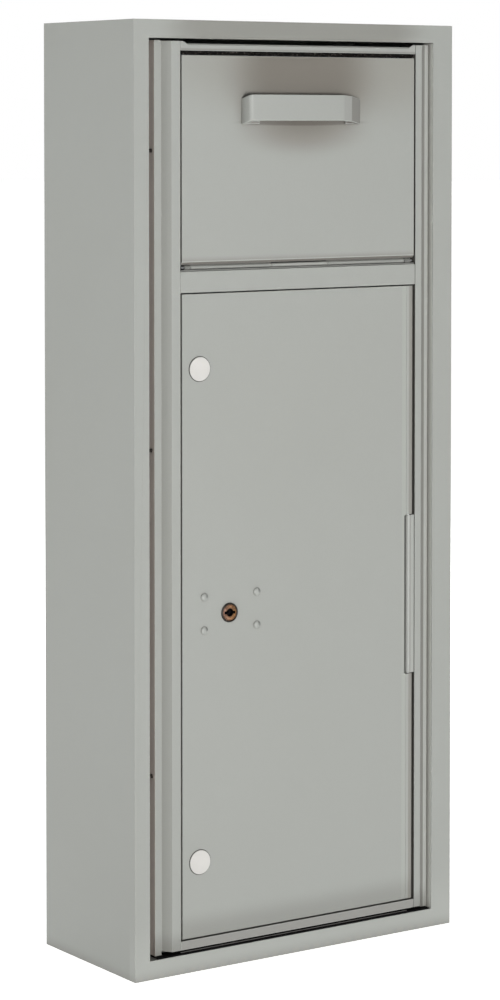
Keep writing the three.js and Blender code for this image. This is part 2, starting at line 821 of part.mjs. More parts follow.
// Frame side of the hinge: the middle barrel and a leaf against the stile's inner wall.
function frameHinge() {
  const { x, radius } = HINGE;
  const { bottom, top } = FRAME_KNUCKLE;
  const leafInner = SILL_X - 1.8;
  const turn = THREE.MathUtils.radToDeg(Math.acos((radius - HINGE_GROOVE) / radius));
  const outline = [
    [SILL_X, FACE + HINGE_GROOVE],
    [SILL_X, STILE_BACK - 5],
    [leafInner, STILE_BACK - 5],
    [leafInner, HINGE_Y + radius],
    ...arc(x, HINGE_Y, radius, 90, 270 + turn, 15),
  ];
  return prismZ(outline, bottom, top).subtract(rodZ(HINGE.bore, bottom - 1, top + 1, x, HINGE_Y));
}

function disc(z) {
  const { x, radius, sheet } = DISC;
  const back = FACE - GAP;
  const profile = [
    [0, back - sheet],
    [radius - 0.5, back - sheet],
    [radius, back - sheet + 0.5],
    [radius, back],
    [0, back],
  ];
  return turnedY(profile, x, z, 40);
}

function addParcelDoor() {
  const { bottom, top } = FRAME_KNUCKLE;
  addInner('parcel_door', parcelDoor(), PAINT);
  addInner('door_stiffener', doorStiffener(), INNER_STEEL);
  addInner('door_hinge_lower', doorKnuckle(DOOR.bottom, bottom - KNUCKLE_GAP), PAINT);
  addInner('door_hinge_upper', doorKnuckle(top + KNUCKLE_GAP, DOOR.top), PAINT);
  addInner('frame_hinge', frameHinge(), PAINT);
  addInner('hinge_pin', rodZ(HINGE.pin, DOOR.bottom + 0.5, DOOR.top - 0.5, HINGE.x, HINGE_Y), BRIGHT_STEEL);
  addInner('number_disc_upper', disc(DISC_HEIGHTS.upper), WHITE);
  addInner('number_disc_lower', disc(DISC_HEIGHTS.lower), WHITE);
}

// ---- Lock ----

function lockBody() {
  const { bezel, barrel, plug, proud, back, x, z } = LOCK;
  const profile = [
    [plug + GAP, FACE - proud + 0.4],
    [bezel - 1.2, FACE - proud],
    [bezel, FACE - proud + 0.9],
    [bezel, FACE - GAP],
    [barrel, FACE - GAP],
    [barrel, FACE + back],
    [plug + GAP, FACE + back],
    [plug + GAP, FACE - proud + 0.4],
  ];
  return turnedY(profile, x, z, 36);
}

function lockPlug() {
  const { plug, proud, back, x, z } = LOCK;
  const front = FACE - proud + 0.5;
  const rear = FACE + back + GAP;
  const tail = camFront() + CAM.sheet - 0.4;
  const half = CAM.hole / 2 - GAP;
  let body = rodY(plug, front, rear, x, z, 32);
  body = body.add(box(x - half, x + half, rear - 1, tail, z - half, z + half));
  const { radius, slot, slotHalf, depth } = KEYHOLE;
  body = body.subtract(rodY(radius, front - 1, front + depth, x, z, 24));
  body = body.subtract(box(x - slot, x + slot, front - 1, front + depth, z - slotHalf, z + slotHalf));
  return body.subtract(rodY(1.8, tail - 6, tail + 1, x, z, 14));
}

function camFront() {
  return FACE + LOCK.back + 2 * GAP;
}

// Flat bar that hangs down when unlocked and turns to the left behind the strike strip.
function lockCam() {
  const { x, z } = LOCK;
  const { reach, width, sheet, shoulder, corner } = CAM;
  const half = width / 2;
  const bore = CAM.hole / 2;
  const outline = [
    ...arc(x, z, half + 2, 0, 180, 14),
    [x - half, z - shoulder],
    [x - half, z - reach + corner],
    [x - half + corner, z - reach],
    [x + half - corner, z - reach],
    [x + half, z - reach + corner],
    [x + half, z - shoulder],
  ];
  const y0 = camFront();
  const hole = box(x - bore, x + bore, y0 - 1, y0 + sheet + 1, z - bore, z + bore);
  return prismY(outline, y0, y0 + sheet).subtract(hole);
}

function camScrew() {
  const y0 = camFront() + CAM.sheet + GAP;
  const profile = [
    [0, y0 - 5],
    [1.5, y0 - 5],
    [1.5, y0],
    [5.4, y0],
    [5.4, y0 + 1.8],
    [3.6, y0 + 2.8],
    [0, y0 + 2.8],
  ];
  return turnedY(profile, LOCK.x, LOCK.z, 18);
}

function lockPlate() {
  const { left, right, bottom, top, sheet } = PLATE;
  const y = DOOR_INSIDE + GAP;
  let plate = box(left, right, y, y + sheet, bottom, top);
  plate = plate.subtract(rodY(LOCK.barrel + GAP, y - 1, y + 3, LOCK.x, LOCK.z, 28));
  for (const [x, z] of RIVETS) {
    plate = plate.subtract(rodY(RIVET.hole, y - 1, y + 3, x, z, 14));
  }
  return plate;
}

function lockNut() {
  const y = DOOR_INSIDE + 2 * GAP + PLATE.sheet;
  const hexagon = rodY(LOCK_NUT.corner, y, y + LOCK_NUT.sheet, LOCK.x, LOCK.z, 6);
  return hexagon.subtract(rodY(LOCK.barrel + GAP, y - 1, y + 5, LOCK.x, LOCK.z, 28));
}

// Domed rivet through the door and the lock plate.
function lockRivet(x, z) {
  const { head, shank, rise } = RIVET;
  const seat = FACE - GAP;
  const rear = DOOR_INSIDE + 2 * GAP + PLATE.sheet;
  const dome = [1, 0.97, 0.86, 0.66, 0.36, 0];
  const profile = [
    ...dome.map((height, i) => [(head * i) / (dome.length - 1), seat - rise * height]),
    [shank, seat],
    [shank, rear],
    [shank + 1.6, rear],
    [shank + 1, rear + 1.3],
    [0, rear + 1.3],
  ];
  return turnedY(profile, x, z, 24);
}

function strikeStrip() {
  const { bottom, top, flange, leg, behind } = STRIKE;
  const y = FACE + RETURN_DEPTH + behind;
  const t = STRIKE.sheet;
  const outline = [
    [-SILL_X, y],
    [-SILL_X + flange, y],
    [-SILL_X + flange, y + t],
    [-SILL_X + t, y + t],
    [-SILL_X + t, y + leg],
    [-SILL_X, y + leg],
  ];
  return prismZ(outline, bottom, top);
}

function doorBumper(z) {
  const { inset, width, height, thick } = BUMPER;
  const y1 = FACE + RETURN_DEPTH + STRIKE.behind - GAP;
  const x0 = -SILL_X + inset;
  return box(x0, x0 + width, y1 - thick, y1, z - height / 2, z + height / 2);
}

function addLock() {
  addInner('lock_body', lockBody(), DARK_STEEL);
  addInner('lock_plug', lockPlug(), COPPER);
  addInner('lock_cam', lockCam(), BRIGHT_STEEL);
  addInner('cam_screw', camScrew(), BRIGHT_STEEL);
  addInner('lock_plate', lockPlate(), INNER_STEEL);
  addInner('lock_nut', lockNut(), BRIGHT_STEEL);
  RIVETS.forEach(([x, z], i) => addInner(`lock_rivet_${i + 1}`, lockRivet(x, z), PAINT));
  addInner('strike_strip', strikeStrip(), INNER_STEEL);
  addInner('door_bumper_upper', doorBumper(BUMPER_HEIGHTS.upper), RUBBER);
  addInner('door_bumper_lower', doorBumper(BUMPER_HEIGHTS.lower), RUBBER);
}

addEnclosure();
addUnitFrame();
addCabinet();
addHopper();
addParcelDoor();
addLock();

export default model;
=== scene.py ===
import functools
import json
import math
import random

import bmesh
import bpy
from mathutils import Matrix, Vector


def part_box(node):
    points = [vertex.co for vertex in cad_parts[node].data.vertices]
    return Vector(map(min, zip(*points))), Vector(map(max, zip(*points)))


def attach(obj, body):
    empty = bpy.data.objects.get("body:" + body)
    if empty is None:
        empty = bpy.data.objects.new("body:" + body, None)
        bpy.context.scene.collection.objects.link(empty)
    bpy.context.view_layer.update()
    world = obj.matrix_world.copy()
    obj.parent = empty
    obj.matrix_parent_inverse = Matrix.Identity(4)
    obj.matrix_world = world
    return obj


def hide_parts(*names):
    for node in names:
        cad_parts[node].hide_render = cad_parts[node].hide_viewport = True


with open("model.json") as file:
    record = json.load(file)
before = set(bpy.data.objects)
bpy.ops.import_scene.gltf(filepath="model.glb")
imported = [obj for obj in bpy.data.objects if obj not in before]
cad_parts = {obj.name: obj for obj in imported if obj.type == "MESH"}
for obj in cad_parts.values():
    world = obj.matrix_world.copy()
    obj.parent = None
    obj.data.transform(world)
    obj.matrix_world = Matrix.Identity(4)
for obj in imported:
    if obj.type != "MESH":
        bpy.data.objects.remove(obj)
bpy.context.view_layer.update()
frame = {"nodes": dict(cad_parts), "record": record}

nodes = frame["nodes"]


def middle(node):
    """Centre of a CAD node's box at rest."""
    low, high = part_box(node)
    return [(a + b) / 2 for a, b in zip(low, high)]


# ---------------------------------------------------------------- camera

CAMERA_PLACE = (-2.0512, -2.9788, 0.9897)
CAMERA_TURN = 0.6028  # to the right of straight ahead, radians
CAMERA_DIP = math.radians(2.4)  # below the horizon
CAMERA_LENS = 107.757  # mm
CAMERA_SHIFT = -0.2525
SENSOR_WIDTH = 36  # mm
FAR_CLIP = 50


def make_camera():
    data = bpy.data.cameras.new("camera")
    data.lens = CAMERA_LENS
    data.sensor_width = SENSOR_WIDTH
    data.shift_y = CAMERA_SHIFT
    data.clip_end = FAR_CLIP
    camera = bpy.data.objects.new("camera", data)
    camera.location = CAMERA_PLACE
    camera.rotation_euler = (math.pi / 2 - CAMERA_DIP, 0, -CAMERA_TURN)
    bpy.context.scene.collection.objects.link(camera)
    bpy.context.scene.camera = camera


make_camera()

# ---------------------------------------------------------------- materials

MIX_COLOR_INPUTS = (0, 6, 7)  # the Mix node's factor and its two colours
MIX_COLOR_RESULT = 2
# tint of the painted shade and dust in corners and gaps
DUST_AND_SHADE_TINT = (0.42, 0.37, 0.34)
HOLLOW_SAMPLES = 6
HOLLOW_SPAN = (0.25, 0.95)  # openness from which a surface is fully shaded and dusty to clean


def set_range(ramp, low, high, to_low, to_high):
    """Sets the four limits of a Map Range node."""
    for key, limit in zip(("From Min", "From Max", "To Min", "To Max"), (low, high, to_low, to_high)):
        ramp.inputs[key].default_value = limit


class Shader:
    """A Principled material with short calls for the nodes that the finishes share."""

    def __init__(self, name, color, roughness, metallic=0.0, specular=0.5):
        self.material = bpy.data.materials.new(name)
        self.material.use_nodes = True
        self.tree = self.material.node_tree
        self.surface = self.tree.nodes["Principled BSDF"]
        self.place = self.tree.nodes.new("ShaderNodeTexCoord").outputs["Object"]
        self.set("Base Color", (*color, 1))
        self.set("Roughness", roughness)
        self.set("Metallic", metallic)
        self.set("Specular IOR Level", specular)

    def set(self, socket, value):
        self.surface.inputs[socket].default_value = value

    def feed(self, socket, value):
        """Links an output to a socket, or sets the socket to a constant."""
        if isinstance(value, bpy.types.NodeSocket):
            self.tree.links.new(value, socket)
        else:
            socket.default_value = value

    def join(self, output, socket):
        self.tree.links.new(output, self.surface.inputs[socket])

    def node(self, kind, **inputs):
        made = self.tree.nodes.new(kind)
        for key, value in inputs.items():
            self.feed(made.inputs[key.replace("_", " ")], value)
        return made

    def operate(self, kind, operation, *values):
        """A math or vector math node on outputs and constants."""
        made = self.tree.nodes.new(kind)
        made.operation = operation
        for socket, value in zip(made.inputs, values):
            self.feed(socket, value)
        return made

    def product(self, first, second):
        return self.operate("ShaderNodeMath", "MULTIPLY", first, second).outputs[0]

    def vector(self, operation, first, second):
        return self.operate("ShaderNodeVectorMath", operation, first, second).outputs[0]

    def stretched(self, scale):
        """The object's own coordinates, scaled by a factor along each axis."""
        return self.node("ShaderNodeMapping", Vector=self.place, Scale=scale).outputs["Vector"]

    def noise(self, scale, detail=2.0, place=None):
        made = self.node("ShaderNodeTexNoise", Vector=place or self.place, Scale=scale, Detail=detail)
        return made.outputs["Fac"]

    def ramp(self, value, low, high, to_low=0.0, to_high=1.0, kind="LINEAR"):
        """Maps low..high to to_low..to_high, clamped."""
        made = self.node("ShaderNodeMapRange", Value=value)
        made.interpolation_type = kind
        set_range(made, low, high, to_low, to_high)
        return made.outputs["Result"]

    def mix(self, amount, first, second, blend="MIX"):
        made = self.tree.nodes.new("ShaderNodeMix")
        made.data_type = "RGBA"
        made.blend_type = blend
        for place, value in zip(MIX_COLOR_INPUTS, (amount, first, second)):
            self.feed(made.inputs[place], (*value, 1) if isinstance(value, tuple) else value)
        return made.outputs[MIX_COLOR_RESULT]

    def tinted(self, amount, color, tint):
        """The color multiplied by a tint, by that amount."""
        return self.mix(amount, color, self.mix(1.0, color, tint, "MULTIPLY"))

    def bump(self, height, strength, distance, under=None):
        made = self.node("ShaderNodeBump", Height=height, Strength=strength, Distance=distance)
        if under is not None:
            self.tree.links.new(under, made.inputs["Normal"])
        return made.outputs["Normal"]

    def dust_and_hollow_shade(self, color, reach, amount, tint=DUST_AND_SHADE_TINT):
        """Painted shade, with some dust, that darkens corners and gaps where ambient occlusion finds
        them.
        """
        hollow = self.node("ShaderNodeAmbientOcclusion", Distance=reach)
        hollow.samples = HOLLOW_SAMPLES
        shade = self.ramp(hollow.outputs["AO"], *HOLLOW_SPAN, amount, 0.0)
        return self.mix(shade, color, tint, "MULTIPLY")


MM = 0.001
BAND_EDGE = 0.15 * MM  # half the width over which a band fades in
WIDE = 2.0  # reach of a mark that runs right across the object
FRONT_DEPTH = -88 * MM  # painted light and shade marks lie only in front of this
NOISE_MIDDLE = (0.3, 0.7)  # where most of a noise's values lie
DUSTY_SHARE = (0.965, 0.955, 0.94)  # the paint's red, green and blue where it is dustier
# noise scales of the paint, per metre
DRIFT_SCALE, CLOUD_SCALE, PEEL_SCALE, FINE_SCALE, SPECK_SCALE = 2.2, 7.0, 620.0, 2300.0, 2600.0
SPECK_LIFT = 1.05
PAINT_ROUGHNESS, PAINT_ROUGHNESS_SPAN = 0.48, (0.42, 0.53)
# reach and strength of the paint's painted shade in corners and gaps
PAINT_HOLLOW_SHADE_REACH, PAINT_HOLLOW_SHADE = 14 * MM, 0.55
COAT_WEIGHT, COAT_ROUGHNESS = 0.08, 0.25
KEYHOLE_DEPTH = 6.9 * MM


def between(shader, axis, start, end):
    """1 where the object's own coordinate along an axis lies between start and end, else 0."""
    along = shader.node("ShaderNodeSeparateXYZ", Vector=shader.place).outputs[axis]
    rise = shader.ramp(along, start - BAND_EDGE, start + BAND_EDGE)
    fall = shader.ramp(along, end - BAND_EDGE, end + BAND_EDGE, 1.0, 0.0)
    return shader.product(rise, fall)


def light_and_shade_oval(shader, color, centre, reach, edge, tint):
    """Tints the front's color inside a soft ellipse round centre, given in its own x and z; the marks
    are painted shade, and painted light where the tint is above one.
    """
    offset = shader.vector("SUBTRACT", shader.place, (centre[0], 0, centre[1]))
    oval = shader.vector("MULTIPLY", offset, (1 / reach[0], 0, 1 / reach[1]))
    length = shader.operate("ShaderNodeVectorMath", "LENGTH", oval).outputs["Value"]
    amount = shader.ramp(length, 1 - edge, 1 + edge, 1.0, 0.0, "SMOOTHERSTEP")
    inside = shader.product(amount, between(shader, "Y", -WIDE, FRONT_DEPTH))
    return shader.tinted(inside, color, tint)


def banded(shader, color, spans, tint):
    """Tints the color where the object's own coordinates lie within the span given for each axis."""
    parts = [between(shader, axis, *span) for axis, span in spans.items()]
    return shader.tinted(functools.reduce(shader.product, parts), color, tint)


def scaled(color, factor):
    return tuple(part * factor for part in color)


def powder_coat(name, color, painted_marks=(), bands=()):
    """Satin powder coat: fine orange peel, a faint speck, slow drifts of tone, painted shade and light
    in soft marks and bands, and painted shade in corners.
    """
    shader = Shader(name, color, PAINT_ROUGHNESS, specular=0.45)
    drift = shader.ramp(shader.noise(DRIFT_SCALE, 3.0), *NOISE_MIDDLE)
    body = shader.mix(drift, tuple(c * k for c, k in zip(color, DUSTY_SHARE)), color)
    speck = shader.ramp(shader.noise(SPECK_SCALE, 1.0), 0.35, 0.72)
    body = shader.mix(speck, body, scaled(color, SPECK_LIFT))
    for mark in painted_marks:
        body = light_and_shade_oval(shader, body, *mark)
    for band in bands:
        body = banded(shader, body, *band)
    shader.join(shader.dust_and_hollow_shade(body, PAINT_HOLLOW_SHADE_REACH, PAINT_HOLLOW_SHADE), "Base Color")
    cloud = shader.noise(CLOUD_SCALE, 4.0)
    shader.join(shader.ramp(cloud, *NOISE_MIDDLE, *PAINT_ROUGHNESS_SPAN), "Roughness")
    peel = shader.bump(shader.noise(PEEL_SCALE, 2.0), 0.10, 0.4 * MM)
    fine = shader.bump(shader.noise(FINE_SCALE, 1.0), 0.06, 0.2 * MM, under=peel)
    shader.join(fine, "Normal")
    shader.set("Coat Weight", COAT_WEIGHT)
    shader.set("Coat Roughness", COAT_ROUGHNESS)
    return shader.material


def zinc_sheet(name):
    """Galvanised sheet with its crystal spangle."""
    dark, light, streak = (0.36, 0.37, 0.38), (0.50, 0.51, 0.52), (0.47, 0.48, 0.48)
    spangle_scale, grain_scale = 85.0, 240.0
    shader = Shader(name, (0.42, 0.43, 0.44), 0.38, metallic=0.85)
    cells = shader.node("ShaderNodeTexVoronoi", Vector=shader.place, Scale=spangle_scale)
    grain = shader.noise(grain_scale, 3.0, place=shader.stretched((1.0, 1.0, 0.25)))
    tone = shader.mix(shader.ramp(cells.outputs["Distance"], 0.0, 0.9), dark, light)
    tone = shader.mix(shader.ramp(grain, 0.35, 0.65), tone, streak)
    shader.join(shader.dust_and_hollow_shade(tone, 20 * MM, 0.5), "Base Color")
    shader.join(shader.ramp(cells.outputs["Color"], 0.0, 1.0, 0.30, 0.48), "Roughness")
    shader.join(shader.bump(grain, 0.05, 0.3 * MM), "Normal")
    return shader.material


def plated_steel(name, color, roughness=0.3):
    """Zinc-plated fasteners: fine turning marks and small stains."""
    shader = Shader(name, color, roughness, metallic=1.0)
    turning_scale, stain_scale, stain_share = 900.0, 180.0, 0.72
    turning = shader.noise(turning_scale, 2.0, place=shader.stretched((1.0, 6.0, 1.0)))
    stain = shader.ramp(shader.noise(stain_scale, 4.0), 0.45, 0.75)
    shader.join(shader.mix(stain, color, scaled(color, stain_share)), "Base Color")
    shader.join(shader.ramp(turning, *NOISE_MIDDLE, roughness - 0.06, roughness + 0.14), "Roughness")
    shader.join(shader.bump(turning, 0.12, 0.2 * MM), "Normal")
    return shader.material


def worn_copper(name, centre):
    """Copper-coloured plug face: faint rings round its centre, stains, a rosier left side that is a
    painted sheen, painted shade in its corners, and the keyhole's depth painted black as shade.
    """
    copper, rose_sheen = (0.52, 0.27, 0.11), (0.50, 0.30, 0.23)
    groove, patina_tone = (0.20, 0.11, 0.06), (0.16, 0.09, 0.055)
    hole_shade_tint, corner_tint = (0.05, 0.04, 0.04), (0.2, 0.15, 0.12)
    ring_scale, patina_scale = 110.0, 330.0
    shader = Shader(name, (0.36, 0.19, 0.09), 0.36, metallic=0.9)
    offset = shader.vector("SUBTRACT", shader.place, centre)
    rings = shader.node("ShaderNodeTexWave", Vector=offset, Scale=ring_scale, Distortion=1.2)
    rings.wave_type = "RINGS"
    rings.rings_direction = "Y"
    ridge = rings.outputs["Fac"]
    patina = shader.ramp(shader.noise(patina_scale, 4.0), 0.46, 0.70)
    across = shader.node("ShaderNodeSeparateXYZ", Vector=offset).outputs["X"]
    # painted sheen: the left side, toward the light, is rosier
    tone = shader.mix(shader.ramp(across, -7 * MM, 5 * MM, 1.0, 0.0), copper, rose_sheen)
    tone = shader.mix(shader.ramp(ridge, 0.2, 0.8, 0.45, 0.0), tone, groove)
    tone = shader.mix(patina, tone, patina_tone)
    hole = (centre[1], centre[1] + KEYHOLE_DEPTH + 0.3 * MM)  # from behind the face to past the floor
    # painted shade: the keyhole's depth is tinted near black
    tone = banded(shader, tone, {"Y": hole}, hole_shade_tint)
    shader.join(shader.dust_and_hollow_shade(tone, 2 * MM, 0.6, corner_tint), "Base Color")
    shader.join(shader.ramp(ridge, 0.0, 1.0, 0.30, 0.46), "Roughness")
    shader.join(shader.bump(ridge, 0.15, 0.2 * MM), "Normal")
    return shader.material


def bristle_hair(name):
    """Black hair with dusty grey-brown tufts among it."""
    black, dusty = (0.008, 0.007, 0.006), (0.11, 0.095, 0.085)
    tuft_scale, hair_scale = 420.0, 1500.0
    shader = Shader(name, (0.010, 0.009, 0.008), 0.7, specular=0.15)
    dust_and_shade = shader.ramp(shader.noise(tuft_scale, 2.0), 0.56, 0.66)
    shader.join(shader.mix(dust_and_shade, black, dusty), "Base Color")
    shader.join(shader.bump(shader.noise(hair_scale, 2.0), 0.2, 0.3 * MM), "Normal")
    return shader.material


def flat_finish(name, color, roughness, grain, strength, specular=0.3):
    """Plastics, rubber and bristle: a fine moulded grain and a slight change of tone."""
    shader = Shader(name, color, roughness, specular=specular)
    drift_scale, dark_share = 35.0, 0.93
    drift = shader.ramp(shader.noise(drift_scale, 3.0), *NOISE_MIDDLE)
    shader.join(shader.mix(drift, scaled(color, dark_share), color), "Base Color")
    shader.join(shader.bump(shader.noise(grain, 2.0), strength, 0.3 * MM), "Normal")
    return shader.material


PAINT_TONE = (0.325, 0.335, 0.315)


def shaded_tone(share, warmth=0.03):
    """A tint that takes the paint to a share of its brightness, a little warmer."""
    return (share, share * (1 - warmth), share * (1 - 1.5 * warmth))


# soft marks of painted shade and light: centre as (x, z), reach along x and z, softness of the edge,
# tint
# painted shade round the pull: above it up to the door's top, under it, and along the hopper's lower
# edge
PULL_SHADE_MARKS = (
    ((0.004, 1.046), (0.088, 0.075), 0.55, (0.62, 0.575, 0.545)),
    ((0.040, 1.070), (0.200, 0.070), 0.60, (0.85, 0.82, 0.79)),
    ((0.0025, 0.9893), (0.083, 0.0038), 0.30, (0.66, 0.64, 0.63)),
    ((0.004, 0.976), (0.072, 0.018), 0.75, (0.86, 0.83, 0.81)),
    ((0.0, 0.8268), (WIDE, 0.0052), 0.90, (0.80, 0.77, 0.76)),
)
HEEL_PLACES = (-0.0660, 0.0690)  # x of the pull's two bends
# painted shade under the pull's two bends
HEEL_SHADE_MARKS = tuple(((x, 0.9878), (0.0095, 0.0022), 0.40, (0.62, 0.58, 0.56)) for x in HEEL_PLACES)
# painted shade across the middle of the top rim, and painted light along the bottom of the front
RIM_LIGHT_AND_SHADE_MARKS = (
    ((0.000, 1.100), (0.172, 0.040), 0.22, (0.75, 0.73, 0.71)),
    ((0.0, 0.0), (WIDE, 0.050), 0.90, (1.10, 1.10, 1.10)),
)
# painted shade along the foot of the door and of the frame
DOOR_FOOT_SHADE = (((0.0, 0.040), (WIDE, 0.021), 0.85, (0.80, 0.79, 0.78)),)
FRAME_FOOT_SHADE = (((0.0, 0.028), (WIDE, 0.016), 0.85, (0.74, 0.73, 0.72)),)
# painted shade along the top rail's lower edge
RAIL_EDGE_SHADE = (((0.0, 1.0714), (WIDE, 0.0027), 0.90, (0.66, 0.63, 0.62)),)

# bands of painted shade and light: the spans that bound them along one or more axes, tint
# on the door's hinge edge: a painted highlight, painted shade in the gap by the middle knuckle,
# painted shade on the knuckle's far side
DOOR_LIGHT_AND_SHADE_BANDS = (
    ({"X": (0.1520, 0.1600)}, (1.06, 1.07, 1.06)),
    ({"X": (0.1556, 0.1590), "Z": (0.3190, 0.5120)}, shaded_tone(0.25)),
    ({"X": (0.1625, 0.1695)}, shaded_tone(0.78, 0.05)),
)
# painted shade along the hopper's lip and along the top of its knuckles
LIP_SHADE_BANDS = (({"Z": (0.8246, 0.8286)}, shaded_tone(0.62, 0.05)),)
KNUCKLE_SHADE_BANDS = (({"Z": (0.8246, 0.8400)}, shaded_tone(0.42)),)
# painted light on the left stile's side wall in the gap and on the right stile's outer flange; painted
# shade on the slopes, in the gap by the hinge and at the foot of the right step
STILE_LIGHT_AND_SHADE_BANDS = (
    ({"X": (-0.1990, -0.19815)}, (2.35, 2.05, 2.0)),
    ({"X": (-0.1890, -0.1808)}, (0.93, 0.92, 0.91)),
    ({"X": (0.1712, 0.17185)}, (0.35, 0.34, 0.33)),
    ({"X": (0.1814, 0.1930)}, shaded_tone(0.62)),
    ({"X": (0.1930, 0.1984)}, (1.2, 1.2, 1.2)),
)
# painted shade in the gap and the groove beside the knuckle, painted light on the knuckle's right half
HINGE_LIGHT_AND_SHADE_BANDS = (
    ({"X": (0.1590, 0.1601)}, shaded_tone(0.25)),
    ({"X": (0.1643, 0.1653)}, shaded_tone(0.78)),
    ({"X": (0.1656, 0.1705)}, (1.14, 1.14, 1.14)),
)
# painted shade on the pull's right bend and side
PULL_SHADE_BANDS = (
    ({"X": (0.0530, 0.0668)}, (0.93, 0.92, 0.92)),
    ({"X": (0.0668, 0.0890)}, (0.68, 0.65, 0.64)),
)
# painted light on the rim's inner return lip
RETURN_LIP = {"X": (0.2002, 0.2012), "Y": (-0.0992, -0.0700), "Z": (0.0225, 1.0850)}
RIM_HIGHLIGHT_BANDS = ((RETURN_LIP, (2.2, 2.2, 2.2)),)

LOCK_CENTRE = middle("lock_body")
LOCK_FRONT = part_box("lock_body")[0][1]
PLUG_FACE = (LOCK_CENTRE[0], LOCK_FRONT + 0.9 * MM, LOCK_CENTRE[2])  # just behind the face itself

# one finish for each material slot of the record
MATERIALS = {
    "enclosure_paint": powder_coat("enclosure_paint", PAINT_TONE, RIM_LIGHT_AND_SHADE_MARKS, bands=RIM_HIGHLIGHT_BANDS),
    "frame_paint": powder_coat("frame_paint", PAINT_TONE, FRAME_FOOT_SHADE, bands=STILE_LIGHT_AND_SHADE_BANDS),
    "door_paint": powder_coat("door_paint", PAINT_TONE),
    "zinc_sheet": zinc_sheet("zinc_sheet"),
    "bright_steel": plated_steel("bright_steel", (0.60, 0.61, 0.62)),
    "dark_steel": plated_steel("dark_steel", (0.07, 0.062, 0.056), 0.42),
    "lock_copper": worn_copper("lock_copper", PLUG_FACE),
    "bristle": flat_finish("bristle", (0.012, 0.011, 0.010), 0.75, 900.0, 0.3),
    "rubber": flat_finish("rubber", (0.018, 0.018, 0.018), 0.8, 700.0, 0.2),
    "white_disc": flat_finish("white_disc", (0.61, 0.597, 0.57), 0.5, 1400.0, 0.08),
}
# finishes of single nodes, edges and pieces
# lighter paint for the bevels: painted highlight along the edges
EDGE_HIGHLIGHT_PAINT = powder_coat("paint_edge_highlight", scaled(PAINT_TONE, 1.10))
LEAF_PAINT = powder_coat("leaf_paint", PAINT_TONE, DOOR_FOOT_SHADE, bands=DOOR_LIGHT_AND_SHADE_BANDS)
HOPPER_PAINT = powder_coat("door_paint_handled", PAINT_TONE, PULL_SHADE_MARKS, bands=LIP_SHADE_BANDS)
PULL_PAINT = powder_coat("pull_paint", PAINT_TONE, HEEL_SHADE_MARKS, bands=PULL_SHADE_BANDS)
RAIL_PAINT = powder_coat("rail_paint", PAINT_TONE, RAIL_EDGE_SHADE)
HINGE_PAINT = powder_coat("hinge_paint", PAINT_TONE, bands=HINGE_LIGHT_AND_SHADE_BANDS)
# knuckle paint, darker than the rest: painted shade under the hopper's lip
KNUCKLE_PAINT = powder_coat("knuckle_paint", scaled(PAINT_TONE, 0.86), bands=KNUCKLE_SHADE_BANDS)
# darker paint of the sill strip: painted shade in the gap under the hopper's hinge
STRIP_SHADE_PAINT = powder_coat("strip_shade_paint", scaled(PAINT_TONE, 0.68))
# darker, warmer paint of the bottom rail: painted shade near the floor
SILL_TONE = tuple(c * k for c, k in zip(PAINT_TONE, (0.80, 0.77, 0.77)))
SILL_PAINT = powder_coat("frame_paint_low", SILL_TONE)
# near black: painted shade inside the keyhole
KEYHOLE_SHADE = flat_finish("keyhole", (0.006, 0.005, 0.005), 0.9, 900.0, 0.2, specular=0.1)
# near black: painted shade filling the gap under the bottom rail; the bristle holder uses it too
GAP_BLACK = flat_finish("gasket", (0.005, 0.005, 0.005), 0.95, 900.0, 0.2, specular=0.1)
FOAM_EDGE = flat_finish("foam_edge", (0.10, 0.095, 0.09), 0.6, 900.0, 0.2)
BRISTLE_HAIR = bristle_hair("bristle_hair")
OWN_FINISH = {
    "parcel_door": LEAF_PAINT,
    "door_hinge_upper": LEAF_PAINT,
    "door_hinge_lower": LEAF_PAINT,
    "hopper_door": HOPPER_PAINT,
    "hopper_handle": PULL_PAINT,
    "top_rail": RAIL_PAINT,
    "bottom_rail": SILL_PAINT,
    "frame_hinge": HINGE_PAINT,
    "hopper_knuckle_left": KNUCKLE_PAINT,
    "hopper_knuckle_right": KNUCKLE_PAINT,
}

# ---------------------------------------------------------------- CAD nodes that stay

SHARP = math.radians(30)
FLAT = math.radians(0.3)  # faces that meet at less are one plane
WELD_REACH = 1e-6
CAD_BEVEL_SEGMENTS = 3
BEVELS = {
    "enclosure_shell": 1.1 * MM,
    "left_stile": 0.6 * MM,
    "right_stile": 0.6 * MM,
    "top_rail": 0.6 * MM,
    "middle_rail": 0.7 * MM,
    "bottom_rail": 0.6 * MM,
    "hopper_door": 0.6 * MM,
    "parcel_door": 0.7 * MM,
    "hopper_handle": 0.9 * MM,
    "door_hinge_upper": 0.4 * MM,
    "door_hinge_lower": 0.4 * MM,
    "frame_hinge": 0.4 * MM,
}
FINE_BEVEL = 0.3 * MM  # of every other node
SLOT_OF = {part["node"]: part["material_slot"] for part in frame["record"]["subparts"]}


def soften(obj, width):
    """Rounds the sharp edges of a node and smooths its curved faces."""
    if "custom_normal" in obj.data.attributes:
        obj.data.attributes.remove(obj.data.attributes["custom_normal"])
    obj.data.polygons.foreach_set("use_smooth", [True] * len(obj.data.polygons))
    weld = obj.modifiers.new("weld", "WELD")
    weld.merge_threshold = WELD_REACH
    planes = obj.modifiers.new("planes", "DECIMATE")
    planes.decimate_type = "DISSOLVE"
    planes.angle_limit = FLAT
    bevel = obj.modifiers.new("bevel", "BEVEL")
    bevel.width = width
    bevel.segments = CAD_BEVEL_SEGMENTS
    bevel.limit_method = "ANGLE"
    bevel.angle_limit = SHARP
    bevel.harden_normals = True
    bevel.miter_outer = "MITER_ARC"


